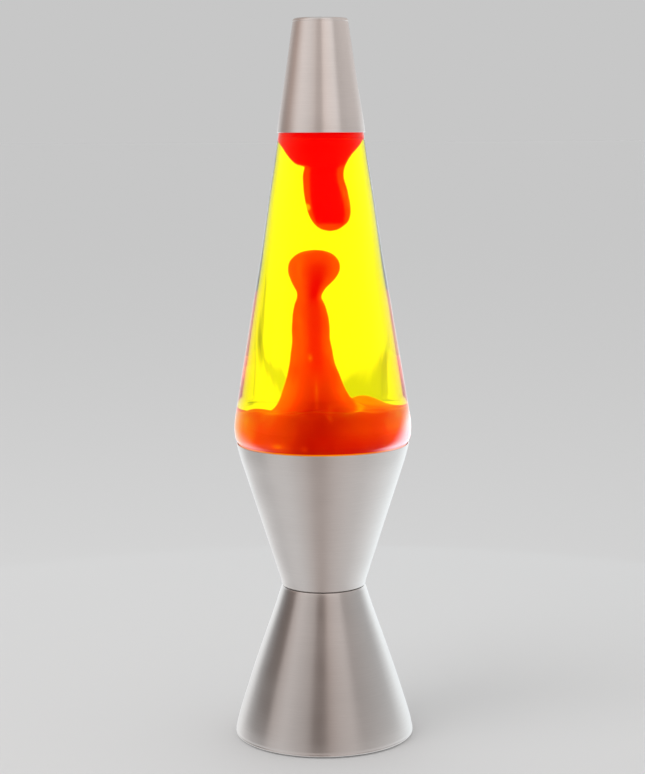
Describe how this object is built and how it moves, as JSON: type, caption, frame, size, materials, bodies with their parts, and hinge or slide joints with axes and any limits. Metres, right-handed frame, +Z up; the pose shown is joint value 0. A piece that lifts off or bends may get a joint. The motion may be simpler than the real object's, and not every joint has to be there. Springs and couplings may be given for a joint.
{
  "type": "lava lamp",
  "caption": "Decorative motion lamp: a spun metal hourglass base with a bulb inside holds a tapered glass globe of coloured liquid and wax under a lift-off cap.",
  "frame": {"origin": "on the table under the lamp's axis, level with the feet's lower faces", "axes": "+Z up along the lamp's axis, -Y towards the front, the cord outlet at +Y"},
  "size_m": [0.0924, 0.0924, 0.3683],
  "materials": {
    "brushed_aluminium": "spun and brushed round the axis, clear lacquer",
    "clear_glass": "blown, clear",
    "yellow_liquid": "clear yellow liquid lit from below",
    "orange_wax": "soft translucent wax, orange-red where it is lit",
    "red_wax": "soft translucent wax, red",
    "steel": "zinc plated",
    "brass": "drawn sheet",
    "nickel": "nickel plated",
    "phenolic": "moulded, dark brown",
    "black_plastic": "moulded, satin black",
    "rubber": "matt",
    "liner": "soft white sealing disc",
    "vitrite": "black glass insulator",
    "tungsten": "wound wire, grey"
  },
  "bodies": {
    "base": {"lower_cone": "brushed_aluminium", "upper_cone": "brushed_aluminium", "bottom_cover": "black_plastic", "foot_back_left": "rubber", "foot_back_right": "rubber", "foot_front_left": "rubber", "foot_front_right": "rubber", "cord_bushing": "black_plastic", "waist_rivet_left": "steel", "waist_rivet_right": "steel", "socket_bracket": "steel", "socket_body": "phenolic", "socket_shell": "brass", "socket_contact": "brass", "socket_screw": "steel", "terminal_screw_line": "brass", "terminal_screw_neutral": "brass"},
    "globe": {"globe_bottle": "clear_glass", "lamp_liquid": "yellow_liquid", "wax_lower": "orange_wax", "wax_upper": "red_wax", "heat_coil": "steel", "crown_cap": "nickel", "crown_liner": "liner"},
    "cap": {"cap": "brushed_aluminium"},
    "bulb_tip": {"bulb_insulator": "vitrite", "bulb_contact": "nickel"},
    "bulb": {"bulb_glass": "clear_glass", "bulb_screw_cap": "nickel", "bulb_stem": "clear_glass", "bulb_filament": "tungsten", "bulb_lead_left": "nickel", "bulb_lead_right": "nickel"}
  },
  "joints": [
    {"name": "globe_lift", "type": "slide", "parent": "base", "child": "globe", "axis": [0, 0, 1], "range_m": [0, 0.06]},
    {"name": "cap_lift", "type": "slide", "parent": "globe", "child": "cap", "axis": [0, 0, 1], "range_m": [0, 0.06]},
    {"name": "bulb_rise", "type": "slide", "parent": "base", "child": "bulb_tip", "axis": [0, 0, 1], "range_m": [0, 0.00847]},
    {"name": "bulb_turn", "type": "hinge", "parent": "bulb_tip", "child": "bulb", "pos_m": [0, 0, 0.0606], "axis": [0, 0, 1], "range_deg": [0, 1080]}
  ],
  "couplings": [
    {"joint": "bulb_rise", "follows": "bulb_turn", "m_per_rad": 0.00044915}
  ]
}
